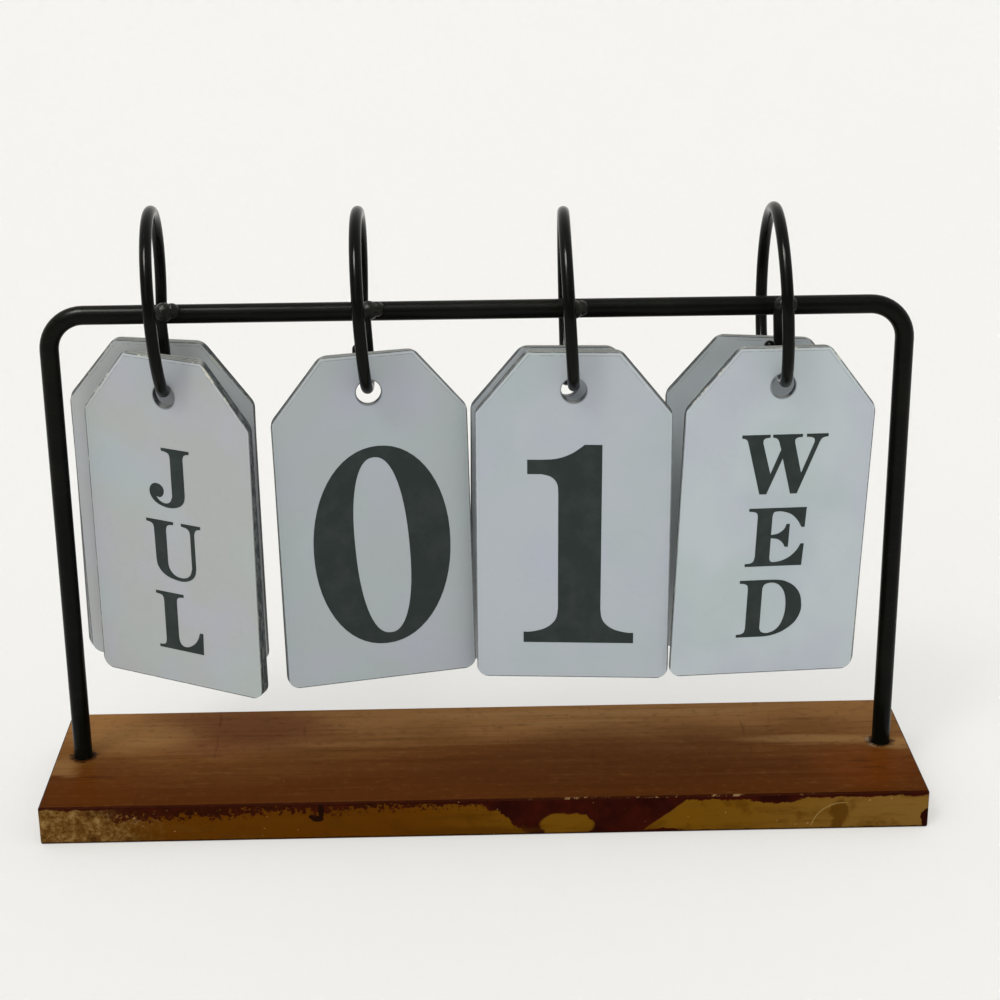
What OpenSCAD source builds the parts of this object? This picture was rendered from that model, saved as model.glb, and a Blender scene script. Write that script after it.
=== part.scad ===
// Perpetual desk calendar: four wire hooks on a bent-rod frame carry stacks of flip tags.
// Millimetres. +X to the right, +Y to the back, +Z up; the origin is under the middle of the board.

/* [Board] */
// Depth of the board, front to back
board_d = 73; // [60:1:110]
// Thickness of the board
board_t = 14; // [12:0.5:24]
// Board left outside each post
board_end = 6.4; // [4:0.2:20]
// Flat planed on every edge of the board
board_ease = 0.6; // [0.2:0.1:1.5]

/* [Frame rod] */
// Diameter of the rod
rod_d = 6.4; // [5:0.1:9]
// Radius of each bend, to the middle of the rod
bend_r = 12; // [9:0.5:24]
// How far the frame stands behind the middle of the board
frame_y = 2; // [-10:0.5:10]
// Height kept for the hooks above the tags and for air below them
hang_room = 45.9; // [40:0.1:80]
// Room from the outer tags to each post
side_room = 5.75; // [4:0.25:20]
// Wood left under each post
post_floor = 5; // [4:0.25:7]
// Clearance round each post in its bore
post_fit = 0.1; // [0.05:0.05:0.3]

/* [Hooks] */
// Diameter of the hook wire
wire_d = 4; // [3:0.1:4.6]
// Radius of the big arc that passes over the bar
arc_r = 31; // [28:0.5:40]
// Radius of the small hooks at both ends of the arc
hook_r = 12; // [9:0.5:14]
// Height of the middle of the arc above the bar
arc_rise = 1.5; // [0:0.25:6]
// Angle below level at which the arc turns into the rear hook
rear_angle = 50; // [40:1:60]
// Sweep of the rear hook, up to its free end
rear_sweep_angle = 128; // [100:1:135]
// Radius of the weld bead
weld_r = 3.2; // [2.6:0.1:4.5]

/* [Tags] */
// Width of a tag
tag_w = 65.5; // [50:0.5:90]
// Height of a tag
tag_h = 116.5; // [90:0.5:160]
// Thickness of a tag
tag_t = 1; // [0.6:0.1:1.2]
// Length of the straight top edge
tag_top = 31; // [24:0.5:48]
// Height of the cut corners
tag_cut = 21; // [14:0.5:30]
// Radius of the bottom corners
foot_r = 4; // [1:0.5:8]
// Radius where the cut corners meet the edges
cut_r = 5; // [1:0.5:8]
// Diameter of the hole
hole_d = 8.5; // [7.5:0.1:10]
// Middle of the hole below the top edge
hole_drop = 13.2; // [10:0.1:20]
// Air between two tags of a stack
tag_gap = 0.35; // [0.3:0.05:0.5]
// Room between two columns of tags
column_gap = 3.1; // [2.5:0.1:12]
// Clearance of a hanging tag above its wire
hang_gap = 0.4; // [0.3:0.05:0.6]

/* [Screws] */
// Diameter of the screws that hold the posts
screw_d = 3.8; // [3:0.1:4.2]
// Diameter of the countersunk heads
head_d = 7.6; // [6.5:0.1:9]
// Length of screw inside each post
screw_bite = 11; // [6:0.5:16]

/* [Hidden] */

// Columns, from left to right
MONTH = 0;
TENS = 1;
UNITS = 2;
WEEKDAY = 3;

// The row of columns stands a little to the left of the middle
row_shift = -4.9;
// Each hook was bent by hand, so each differs a little: along the bar, turned about the
// vertical, leaned sideways before and behind the bar, and raised
hook_shift = [0.8, -0.2, -1.1, 0.1];
hook_angle = [2, -1, -2, -2];
front_lean = [3, 3.2, 3.4, 3];
rear_lean = [-1.5, -1.2, 1.2, -0.5];
hook_rise = [1.3, 0.3, -0.7, -0.1];
// Where each leg meets the bar, in front of the bar's middle
leg_set = [2, 3.3, 4, 3.7];
// How much further down each arc runs before its rear hook, and how much sooner that hook ends
rear_more = [0, 0, 8, 2];
cut_short = [14, 0, 47, 2];
// Height of each weld bead above the bar's middle
weld_lift = [1.5, 1.1, 0.4, 0.6];

// Tags on the front and the rear hook of each column, and how each stack hangs turned
front_count = [3, 2, 3, 2];
rear_count = [3, 0, 2, 2];
front_tag_angle = [-28, 11.3, -4, 9];
rear_tag_angle = [-11.5, 0, -1, -9];
// How far each stack hangs to the side of its wire, which lifts it round the wire
front_shift = [0, 0, 0, -0.4];
rear_shift = [0.5, 0, 0, -0.8];
// Sideways swing of every tag, from the front of a column to its back
swing = [
    [0, -0.5, -0.9, -0.5, 0, 0.4],
    [-1.2, -0.9],
    [0.1, 0, -0.1, 0.3, 0.6],
    [2.3, 2, 0, 0.4]
];
// A turned tag rides lower on the round wire, by this much for each degree
angle_lift = 0.01;

black_steel = [0.11, 0.12, 0.11];
weld_grey = [0.2, 0.2, 0.19];
stained_wood = [0.4, 0.24, 0.13];
tag_grey = [0.68, 0.7, 0.73];
screw_steel = [0.62, 0.61, 0.58];

overrun = 1;
screw_gap = 0.25;
thread_gap = 0.02;
slot_w = 1;
slot_l = 4.4;
slot_depth = 1.5;
head_sink = 0.4;
lap = 1;
lap_l = 0.2;
thinner = 0.02;
seat_air = 0.02;

pitch = tag_w + column_gap;
post_x = 2 * pitch + side_room;
board_w = 2 * (post_x + rod_d / 2 + board_end);
bar_z = board_t + tag_h + hang_room;
head_h = (head_d - screw_d) / 2;

function arc_points(centre, r, from, to, steps = 8) =
    [for (i = [0 : steps]) let (a = from + (to - from) * i / steps) centre + r * [cos(a), sin(a)]];

// A round of radius r in the corner b of the path a, b, c
function corner_points(a, b, c, r) =
    let (
        u = (a - b) / norm(a - b),
        v = (c - b) / norm(c - b),
        half = acos(u * v) / 2,
        centre = b + (u + v) / norm(u + v) * r / sin(half),
        mid = atan2((b - centre)[1], (b - centre)[0]),
        side = sign(u[0] * v[1] - u[1] * v[0])
    )
    arc_points(centre, r, mid + side * (90 - half), mid - side * (90 - half));

function hook_x(col) = (col - 1.5) * pitch + row_shift + hook_shift[col];
function arc_z(col) = bar_z + arc_rise + hook_rise[col];
// Angle on the big arc at which the front hook starts, so that its leg meets the bar
function front_start(col) = 360 - acos(-(leg_set[col] + hook_r) / (arc_r - hook_r));
// Middle of a small hook, seen from the top of the arc, as [y, z]
function small_centre(angle) =
    [(arc_r - hook_r) * cos(angle), (arc_r - hook_r) * sin(angle) - arc_r];
// A point [y, z] of a leaned and turned half of the hook, in the object's frame
function on_hook(col, lean, p) =
    let (x = -p[1] * sin(lean), turn = hook_angle[col])
    [
        hook_x(col) + x * cos(turn) - p[0] * sin(turn),
        frame_y + x * sin(turn) + p[0] * cos(turn),
        arc_z(col) + arc_r + p[1] * cos(lean)
    ];
function rear_end(col) = -rear_angle - rear_more[col];
function low_point(col, front) =
    let (c = small_centre(front ? front_start(col) : rear_end(col)))
    on_hook(col, front ? front_lean[col] : rear_lean[col], c - [0, hook_r]);
function leg_point(col) =
    let (c = small_centre(front_start(col)))
    on_hook(col, front_lean[col], c + [hook_r, 0]);

module board_outline(w, h) {
    x = w / 2;
    y = h / 2;
    e = board_ease;
    polygon([
        [e - x, -y], [x - e, -y], [x, e - y], [x, y - e],
        [x - e, y], [e - x, y], [-x, y - e], [-x, e - y]
    ]);
}

module board_blank() {
    translate([0, 0, board_t / 2])
        intersection() {
            linear_extrude(board_t, center = true) board_outline(board_w, board_d);
            rotate([90, 0, 0])
                linear_extrude(board_d, center = true) board_outline(board_w, board_t);
            rotate([90, 0, 90])
                linear_extrude(board_w, center = true) board_outline(board_d, board_t);
        }
}

module at_posts() {
    for (side = [-1, 1]) translate([side * post_x, frame_y, 0]) children();
}

module base_board() {
    color(stained_wood)
        difference() {
            board_blank();
            at_posts() {
                translate([0, 0, post_floor])
                    cylinder(d = rod_d + 2 * post_fit, h = board_t, $fn = 64);
                translate([0, 0, -overrun])
                    cylinder(d = screw_d + 2 * screw_gap, h = board_t, $fn = 48);
                translate([0, 0, head_sink])
                    cylinder(
                        d1 = head_d + 2 * screw_gap, d2 = screw_d + 2 * screw_gap,
                        h = head_h, $fn = 48
                    );
                translate([0, 0, -overrun])
                    cylinder(d = head_d + 2 * screw_gap, h = head_sink + overrun, $fn = 48);
            }
        }
}

module rod_bend() {
    rotate([90, 0, 0])
        rotate_extrude(angle = 90, $fn = 96) translate([bend_r, 0]) circle(d = rod_d, $fn = 48);
}

module bar(air = 0) {
    bar_l = 2 * (post_x - bend_r);
    translate([-bar_l / 2, frame_y, bar_z]) rotate([0, 90, 0])
        cylinder(d = rod_d + 2 * air, h = bar_l, $fn = 48);
}

module frame_rod() {
    color(black_steel)
        difference() {
            union() {
                bar();
                for (side = [0, 1]) mirror([side, 0, 0]) {
                    translate([post_x - bend_r, frame_y, bar_z - bend_r]) rod_bend();
                    translate([post_x, frame_y, post_floor])
                        cylinder(d = rod_d, h = bar_z - bend_r - post_floor, $fn = 48);
                }
            }
            at_posts() translate([0, 0, post_floor - overrun])
                cylinder(d = screw_d + 2 * thread_gap, h = screw_bite + 2 * overrun, $fn = 48);
        }
}

module base_screws() {
    color(screw_steel)
        at_posts() difference() {
            union() {
                translate([0, 0, head_sink]) cylinder(d1 = head_d, d2 = screw_d, h = head_h, $fn = 48);
                translate([0, 0, head_sink])
                    cylinder(d = screw_d, h = post_floor + screw_bite - head_sink, $fn = 48);
            }
            for (a = [0, 90]) rotate([0, 0, a])
                translate([-slot_l / 2, -slot_w / 2, head_sink - overrun])
                    cube([slot_l, slot_w, slot_depth + overrun]);
        }
}

// An arc of wire in the YZ plane about [0, 0], angles counted from +Y towards +Z
module wire_arc(r, from, to, d) {
    rotate([90, 0, 90]) rotate([0, 0, from])
        rotate_extrude(angle = to - from, $fn = 120) translate([r, 0]) circle(d = d, $fn = 32);
}

module place_hook(col) {
    translate([hook_x(col), frame_y, arc_z(col) + arc_r]) rotate([0, 0, hook_angle[col]]) children();
}

// Each length of wire starts a little inside the one before it and is a hair thinner
module front_half(col) {
    rotate([0, -front_lean[col], 0]) {
        translate([0, 0, -arc_r]) wire_arc(arc_r, 90, front_start(col), wire_d);
        front_bend(col);
        leg(col);
    }
}

module front_bend(col, air = 0) {
    start = front_start(col);
    c = small_centre(start);
    translate([0, c[0], c[1]]) wire_arc(hook_r, start - lap, 360, wire_d - thinner + 2 * air);
}

module leg(col, air = 0) {
    c = small_centre(front_start(col));
    leg_h = -c[1] - arc_r - arc_rise - hook_rise[col];
    translate([0, c[0] + hook_r, c[1] - lap_l])
        cylinder(d = wire_d - 2 * thinner + 2 * air, h = leg_h + lap_l + air, $fn = 32);
}

module rear_half(col) {
    end = rear_end(col);
    c = small_centre(end);
    tip = end + cut_short[col] - rear_sweep_angle;
    rotate([0, -rear_lean[col], 0]) {
        translate([0, 0, -arc_r]) wire_arc(arc_r, end, 90 + lap / 2, wire_d - thinner);
        translate([0, c[0], c[1]]) {
            wire_arc(hook_r, tip, end + lap, wire_d - 2 * thinner);
            translate([0, hook_r * cos(tip), hook_r * sin(tip)])
                sphere(d = wire_d - 3 * thinner, $fn = 32);
        }
    }
}

module hook(col) {
    color(black_steel)
        difference() {
            place_hook(col) {
                front_half(col);
                rear_half(col);
            }
            bar(seat_air);
        }
}

module weld(col) {
    p = leg_point(col);
    color(weld_grey)
        difference() {
            translate([p[0], frame_y - rod_d / 2, bar_z + weld_lift[col]]) rotate([25, 0, 0]) {
                translate([0.3 * weld_r, 0, 0]) sphere(r = weld_r, $fn = 40);
                translate([1.1 * weld_r, 0.2 * weld_r, 0]) sphere(r = 0.8 * weld_r, $fn = 40);
            }
            bar(seat_air);
            place_hook(col) rotate([0, -front_lean[col], 0]) {
                front_bend(col, seat_air);
                leg(col, seat_air);
            }
        }
}

// Flat outline of a tag with its hole at [0, 0]
module tag_outline() {
    x = tag_w / 2;
    top = hole_drop;
    foot = hole_drop - tag_h;
    path = [
        [-x, foot], [x, foot], [x, top - tag_cut],
        [tag_top / 2, top], [-tag_top / 2, top], [-x, top - tag_cut]
    ];
    rounds = [foot_r, foot_r, cut_r, cut_r, cut_r, cut_r];
    polygon([
        for (i = [0 : 5])
            each corner_points(path[(i + 5) % 6], path[i], path[(i + 1) % 6], rounds[i])
    ]);
}

// Tag n of a column, counted from the front
module tag(col, n) {
    front = n <= front_count[col];
    turn = front ? front_tag_angle[col] : rear_tag_angle[col];
    middle = front ? (front_count[col] + 1) / 2 : front_count[col] + (rear_count[col] + 1) / 2;
    along = (n - middle) * (tag_t + tag_gap) / cos(turn);
    shift = front ? front_shift[col] : rear_shift[col];
    drop = hole_d / 2 - wire_d / 2 - hang_gap - angle_lift * abs(turn);
    hang = sqrt(drop * drop - shift * shift);
    color(tag_grey)
        translate(low_point(col, front) + [shift, along, -hang])
            rotate([0, swing[col][n - 1], turn])
                difference() {
                    rotate([90, 0, 0]) linear_extrude(tag_t, center = true) tag_outline();
                    rotate([90, 0, 0])
                        cylinder(d = hole_d, h = tag_t + 2 * overrun, center = true, $fn = 64);
                }
}

module month_hook() { hook(MONTH); }
module tens_hook() { hook(TENS); }
module units_hook() { hook(UNITS); }
module weekday_hook() { hook(WEEKDAY); }

module month_weld() { weld(MONTH); }
module tens_weld() { weld(TENS); }
module units_weld() { weld(UNITS); }
module weekday_weld() { weld(WEEKDAY); }

base_board();
frame_rod();
base_screws();
month_hook();
tens_hook();
units_hook();
weekday_hook();
month_weld();
tens_weld();
units_weld();
weekday_weld();
tag(MONTH, 1);  // month_tag_1
tag(MONTH, 2);  // month_tag_2
tag(MONTH, 3);  // month_tag_3
tag(MONTH, 4);  // month_tag_4
tag(MONTH, 5);  // month_tag_5
tag(MONTH, 6);  // month_tag_6
tag(TENS, 1);  // tens_tag_1
tag(TENS, 2);  // tens_tag_2
tag(UNITS, 1);  // units_tag_1
tag(UNITS, 2);  // units_tag_2
tag(UNITS, 3);  // units_tag_3
tag(UNITS, 4);  // units_tag_4
tag(UNITS, 5);  // units_tag_5
tag(WEEKDAY, 1);  // weekday_tag_1
tag(WEEKDAY, 2);  // weekday_tag_2
tag(WEEKDAY, 3);  // weekday_tag_3
tag(WEEKDAY, 4);  // weekday_tag_4
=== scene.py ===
# Desk calendar with flip tags: the finishes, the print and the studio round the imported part.
from math import atan2, cos, hypot, pi, radians, sin

import bmesh
import bpy
from mathutils import Euler, Matrix, Vector


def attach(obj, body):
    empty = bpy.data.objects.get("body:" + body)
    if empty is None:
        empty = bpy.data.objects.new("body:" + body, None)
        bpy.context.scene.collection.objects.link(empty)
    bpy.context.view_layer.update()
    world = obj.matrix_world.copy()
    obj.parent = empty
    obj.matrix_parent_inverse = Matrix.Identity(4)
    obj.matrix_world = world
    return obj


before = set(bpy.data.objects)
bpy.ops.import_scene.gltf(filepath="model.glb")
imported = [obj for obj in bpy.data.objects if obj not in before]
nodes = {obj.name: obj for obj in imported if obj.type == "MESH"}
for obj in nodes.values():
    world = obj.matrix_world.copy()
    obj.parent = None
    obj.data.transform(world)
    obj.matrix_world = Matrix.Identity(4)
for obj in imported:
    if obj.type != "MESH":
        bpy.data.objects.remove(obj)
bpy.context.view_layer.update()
print("frame: %d nodes loaded" % len(nodes))

mm = 0.001


def paint(red, green, blue):
    # an sRGB colour from 0 to 255, as the shaders want it
    def channel(v):
        v /= 255
        return v / 12.92 if v <= 0.04045 else ((v + 0.055) / 1.055) ** 2.4
    return (channel(red), channel(green), channel(blue), 1.0)


def feed(tree, item, inputs):
    # gives each input its value, or a link where the value comes from another node
    for key, value in inputs.items():
        if isinstance(value, bpy.types.NodeSocket):
            tree.links.new(value, item.inputs[key])
        else:
            item.inputs[key].default_value = value


def addNode(tree, kind, inputs=None, **settings):
    item = tree.nodes.new(kind)
    for key, value in settings.items():
        setattr(item, key, value)
    feed(tree, item, inputs or {})
    return item


def calc(tree, operation, a, b=0.0):
    return addNode(tree, "ShaderNodeMath", {0: a, 1: b}, operation=operation).outputs[0]


def fold(tree, operation, values):
    result = values[0]
    for value in values[1:]:
        result = calc(tree, operation, result, value)
    return result


def times(tree, *values):
    return fold(tree, "MULTIPLY", values)


def plus(tree, *values):
    return fold(tree, "ADD", values)


def largest(tree, *values):
    return fold(tree, "MAXIMUM", values)


def smallest(tree, *values):
    return fold(tree, "MINIMUM", values)


def minus(tree, a, b):
    return calc(tree, "SUBTRACT", a, b)


def absolute(tree, value):
    return calc(tree, "ABSOLUTE", value)


def distance(tree, a, b):
    return calc(tree, "SQRT", plus(tree, times(tree, a, a), times(tree, b, b)))


def split(tree, vector):
    return addNode(tree, "ShaderNodeSeparateXYZ", {0: vector}).outputs


def fade(tree, value, low, high, fromValue=0.0, toValue=1.0):
    # a soft step: fromValue below low, toValue above high
    item = addNode(tree, "ShaderNodeMapRange",
                   {"Value": value, "From Min": low, "From Max": high,
                    "To Min": fromValue, "To Max": toValue},
                   interpolation_type="SMOOTHSTEP")
    return item.outputs["Result"]


def blendColour(tree, amount, a, b):
    item = addNode(tree, "ShaderNodeMix", data_type="RGBA", blend_type="MIX")
    feed(tree, item, {0: amount, 6: a, 7: b})
    return item.outputs[2]


def tint(tree, base, palette, *rows):
    # colours laid one on another; a row is (mask, amount, colour)
    for mask, amount, colour in rows:
        base = blendColour(tree, times(tree, mask, amount), base, palette[colour])
    return base


def layer(tree, base, palette, *rows):
    # the same where a value goes from low to high; a row is (value, low, high, amount, colour)
    for value, low, high, amount, colour in rows:
        base = blendColour(tree, fade(tree, value, low, high, 0.0, amount), base, palette[colour])
    return base


def cloud(tree, vector, scale, detail=4.0, rough=0.55, twist=0.0):
    item = addNode(tree, "ShaderNodeTexNoise",
                   {"Vector": vector, "Scale": scale, "Detail": detail, "Roughness": rough,
                    "Distortion": twist})
    return item.outputs["Fac"]


def stretch(tree, vector, scale, move=(0, 0, 0)):
    item = addNode(tree, "ShaderNodeMapping",
                   {"Vector": vector, "Location": move, "Scale": scale})
    return item.outputs["Vector"]


def ramp(tree, value, *stops):
    item = addNode(tree, "ShaderNodeValToRGB", {"Fac": value})
    bar = item.color_ramp
    while len(bar.elements) < len(stops):
        bar.elements.new(0.5)
    for element, (where, colour) in zip(bar.elements, stops):
        element.position = where
        element.color = colour
    return item.outputs["Color"]


def relief(tree, height, strength, depth, under=None):
    inputs = {"Height": height, "Strength": strength, "Distance": depth}
    if under is not None:
        inputs["Normal"] = under
    return addNode(tree, "ShaderNodeBump", inputs).outputs["Normal"]


def finish(name):
    material = bpy.data.materials.new(name)
    material.use_nodes = True
    tree = material.node_tree
    shader = next(n for n in tree.nodes if n.type == "BSDF_PRINCIPLED")
    return material, tree, shader


def place(tree):
    return addNode(tree, "ShaderNodeTexCoord").outputs


def dress(nodeName, material):
    obj = nodes[nodeName]
    for slot in obj.material_slots:
        slot.material = material
    if not obj.material_slots:
        obj.data.materials.append(material)


def addMesh(name, mesh, material):
    data = bpy.data.meshes.new(name)
    mesh.to_mesh(data)
    mesh.free()
    data.materials.append(material)
    obj = bpy.data.objects.new(name, data)
    bpy.context.scene.collection.objects.link(obj)
    return obj


# the wooden board

board = {
    "topFront": paint(78, 38, 2), "topMiddle": paint(104, 64, 25), "topBackWithSheen": paint(142, 100, 57),
    "topDark": paint(56, 26, 3), "topPale": paint(132, 94, 50), "middleDark": paint(68, 33, 3),
    "red": paint(98, 46, 5), "ruddy": paint(104, 61, 33), "worn": paint(144, 106, 62),
    "pale": paint(150, 114, 70), "grime": paint(128, 122, 104), "edgeOchre": paint(84, 46, 3),
    "edgeTan": paint(101, 67, 10), "edgeEnd": paint(116, 86, 38), "dullDark": paint(58, 36, 12),
    "dull": paint(94, 64, 26), "dullPale": paint(140, 113, 66), "stain": paint(50, 13, 6),
    "stainDark": paint(34, 8, 4), "smudge": paint(72, 42, 4), "line": paint(26, 10, 4),
    "scratch": paint(170, 148, 92), "chip": paint(166, 132, 88), "underDark": paint(118, 86, 54),
    "under": paint(150, 118, 80), "postX": 142.95 * mm, "postY": 2 * mm,
    "roughness": 0.34, "roughGrain": 0.3, "roughEdge": 0.2, "specular": 0.01,
    "grainStrength": 0.22, "grainDepth": 0.25 * mm, "poreStrength": 0.2, "poreDepth": 0.12 * mm,
}

# noise in the wood: how far it is squeezed along x, y and z, where it starts, its scale,
# detail, roughness and twist
woodNoise = {
    "fog": ((7, 22, 12), (3, 2, 0), 1.0, 4, 0.6, 0.4),
    "blotch": ((16, 46, 30), (0, 7, 0), 1.0, 4, 0.6, 0.7),
    "streak": ((7, 260, 90), (4, 1, 0), 1.0, 5, 0.6, 0.2),
    "grain": ((12, 420, 300), (0, 0, 0), 1.0, 8, 0.66, 0.12),
    "felt": ((260, 420, 300), (1, 1, 1), 1.0, 4, 0.7, 0.0),
    "strokes": ((30, 520, 90), (2, 3, 1), 1.0, 3, 0.55, 0.0),
    "marks": ((420, 46, 40), (7, 1, 2), 1.0, 3, 0.5, 0.0),
    "pores": ((60, 900, 900), (0, 0, 0), 1.0, 2, 0.5, 0.0),
    "speck": ((1, 1, 1), (0, 0, 0), 420, 2, 0.5, 0.0),
    "fine": ((1, 1, 1), (0, 0, 0), 420, 5, 0.65, 0.0),
    "mid": ((1, 1, 1), (0.3, 0, 0.1), 120, 4, 0.6, 0.0),
    "wide": ((1, 1, 1), (0.7, 2, 0.4), 40, 3, 0.55, 0.0),
    "edgeGrain": ((34, 34, 260), (0, 0, 0), 1.0, 6, 0.68, 0.0),
    "mottle": ((1, 1, 1), (0, 0, 0), 300, 6, 0.75, 0.0),
    "flecks": ((1, 1, 1), (0, 0, 0), 520, 5, 0.72, 0.0),
    "otherSides": ((22, 22, 60), (1, 5, 0), 1.0, 5, 0.6, 0.0),
    "sparks": ((1, 1, 1), (0, 0, 0), 700, 1, 0.4, 0.0),
    "chips": ((1, 1, 1), (0, 0, 0), 190, 5, 0.75, 0.0),
}

# round marks on the board: the middle along x and along y (z on the edges), the two half
# lengths, all in mm, and how soft the outline is
boardMarks = {
    "darkMiddle": (48, -8, 78, 21, 1.1), "redRight": (134, -16, 17, 15, 1.0),
    "redLeft": (-137, -24, 20, 12, 1.0), "ruddy": (-92, 22, 32, 18, 1.0),
    "wornLeft": (-123, 17, 19, 11, 1.0), "wornCorner": (-149, -7, 5, 8, 0.9),
    "rubRight": (120, 4.5, 25, 3.6, 0.9), "rubEnd": (148, 1, 7, 5, 0.9),
    "rubBack": (38, 29, 58, 4.0, 0.9), "rubLine": (34, 21, 22, 1.6, 0.9),
    "dashRight": (132, -13, 6, 0.8, 0.35), "dashFront": (136, -19, 5, 0.7, 0.35),
    "dashLeft": (-136, -16, 6, 0.9, 0.35),
    "island": (27.5, 3.6, 9.2, 4.8, 0.16), "sliver": (61, 0.4, 8, 1.5, 0.3),
    "drop": (100, 12.6, 9, 2.3, 0.2), "corner": (151.5, 3.4, 2.4, 3.6, 0.2),
    "thick": (-106, 9, 20, 7, 0.9), "smudgeHigh": (122, 6.8, 3.0, 4.6, 0.5),
    "smudgeLow": (121, 2.0, 2.2, 2.6, 0.5), "smudgeLeft": (-6, 1.6, 22, 2.0, 0.8),
    "hookStem": (-56.3, 11.2, 1.0, 3.7, 0.4), "hookBend": (-57.6, 7.9, 2.2, 1.15, 0.4),
    "hookTip": (-59.6, 8.7, 1.0, 0.8, 0.4),
}


def wood(tree, spot, kind):
    scale, move, *rest = woodNoise[kind]
    return cloud(tree, stretch(tree, spot, scale, move), *rest)


def blot(tree, across, up, x, z, halfX, halfZ, soft):
    # 1 inside an ellipse, 0 outside
    a = calc(tree, "DIVIDE", minus(tree, across, x * mm), halfX * mm)
    b = calc(tree, "DIVIDE", minus(tree, up, z * mm), halfZ * mm)
    return fade(tree, distance(tree, a, b), 1 + soft / 2, 1 - soft / 2)


def marked(tree, across, up, *names):
    return largest(tree, *[blot(tree, across, up, *boardMarks[name]) for name in names])


def wobble(tree, base, *pairs):
    # base moved by noise; each pair is (noise, reach in mm)
    for noise, reach in pairs:
        base = plus(tree, base, times(tree, minus(tree, noise, 0.5), reach * mm))
    return base


def topOfBoard(tree, spot, x, y, grain):
    # paler and duller towards the back, partly the wood's own tone and partly a painted sheen of the
    # bright backdrop on the top; darker in the middle, redder before the posts
    fog = wood(tree, spot, "fog")
    blotch = wood(tree, spot, "blotch")
    streak = wood(tree, spot, "streak")
    depth = wobble(tree, y, (fog, 34), (streak, 14), (blotch, 26))
    depth = fade(tree, depth, -34 * mm, 36 * mm)
    top = ramp(tree, depth, (0.08, board["topFront"]), (0.5, board["topMiddle"]),
               (0.92, board["topBackWithSheen"]))
    wideX = wobble(tree, x, (blotch, 40), (fog, 40))
    wideY = wobble(tree, y, (blotch, 16), (streak, 8))
    nearX = wobble(tree, x, (blotch, 16), (streak, 9))
    nearY = wobble(tree, y, (blotch, 9), (grain, 7))
    rubX = wobble(tree, x, (streak, 22), (grain, 12))
    rubY = wobble(tree, y, (streak, 5), (blotch, 6))
    red = largest(tree, marked(tree, nearX, nearY, "redRight"),
                  times(tree, marked(tree, nearX, nearY, "redLeft"), 0.4))
    top = tint(tree, top, board,
               (marked(tree, wideX, wideY, "darkMiddle"), 0.54, "middleDark"),
               (red, 0.55, "red"),
               (marked(tree, wideX, wideY, "ruddy"), 0.85, "ruddy"),
               (marked(tree, nearX, nearY, "wornLeft", "wornCorner"), 0.62, "worn"),
               (marked(tree, rubX, rubY, "rubRight", "rubEnd", "rubBack", "rubLine"), 0.5, "pale"))

    # fine grain along the board, short pale and dark strokes, faint marks across it
    felt = wood(tree, spot, "felt")
    strokes = wood(tree, spot, "strokes")
    speck = wood(tree, spot, "speck")
    top = layer(tree, top, board,
                (grain, 0.5, 0.68, 0.26, "topDark"), (grain, 0.46, 0.30, 0.10, "topPale"),
                (felt, 0.52, 0.70, 0.3, "topDark"), (felt, 0.46, 0.30, 0.14, "topPale"),
                (strokes, 0.60, 0.72, 0.24, "topDark"), (strokes, 0.37, 0.27, 0.08, "topPale"),
                (wood(tree, spot, "marks"), 0.66, 0.76, 0.28, "topDark"),
                (speck, 0.74, 0.80, 0.4, "topPale"))
    dashes = marked(tree, x, nearY, "dashRight", "dashFront", "dashLeft")
    top = tint(tree, top, board, (dashes, 0.6, "topDark"))

    # a dark ring with pale grime where each post goes in
    fromPost = minus(tree, absolute(tree, x), board["postX"])
    foot = distance(tree, fromPost, minus(tree, y, board["postY"]))
    foot = wobble(tree, foot, (speck, 4), (streak, 3))
    grime = times(tree, fade(tree, foot, 6.6 * mm, 5.0 * mm), fade(tree, speck, 0.45, 0.6),
                  fade(tree, fromPost, 1 * mm, -2 * mm), fade(tree, x, 0, 1 * mm))
    top = tint(tree, top, board, (grime, 0.7, "grime"))
    return layer(tree, top, board, (foot, 5.6 * mm, 3.8 * mm, 0.85, "line"))


def stainOnFront(tree, spot, x, z, across, up, mid):
    # the stained patch, with straight-ish slanted ends and an island of bare wood
    leftEnd = minus(tree, across, minus(tree, 15 * mm, times(tree, up, 1.3)))
    rightEnd = minus(tree, across, plus(tree, 53 * mm, times(tree, up, 1.27)))
    patch = times(tree, fade(tree, leftEnd, -0.5 * mm, 0.5 * mm),
                  fade(tree, rightEnd, 0.5 * mm, -0.5 * mm))
    bare = minus(tree, 1.0, marked(tree, across, up, "island"))
    stained = largest(tree, times(tree, patch, bare),
                      marked(tree, across, up, "sliver", "drop", "corner"))
    # stain that thins out downwards in ragged flecks over the left half
    sparse = plus(tree, fade(tree, wobble(tree, z, (mid, 6)), 5.0 * mm, 13.0 * mm, 0.72, 0.42),
                  fade(tree, x, -60 * mm, 10 * mm, 0.0, 0.10))
    thick = marked(tree, wobble(tree, x, (mid, 14)), z, "thick")
    sparse = minus(tree, sparse, times(tree, thick, 0.08))
    flecks = fade(tree, minus(tree, wood(tree, spot, "flecks"), sparse), -0.01, 0.03)
    flecks = times(tree, flecks, fade(tree, x, 16 * mm, 4 * mm),
                   fade(tree, x, -144 * mm, -122 * mm))
    return largest(tree, stained, times(tree, flecks, 0.93))


def scratchOnFront(tree, x, z):
    # a pale arc about a point below the edge
    fromMiddle = distance(tree, minus(tree, x, 123 * mm), minus(tree, z, -1.0 * mm))
    bow = absolute(tree, minus(tree, fromMiddle, 11.2 * mm))
    return times(tree, fade(tree, bow, 0.32 * mm, 0.1 * mm), fade(tree, x, 125 * mm, 123 * mm),
                 fade(tree, z, 1.2 * mm, 2.2 * mm))


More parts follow.
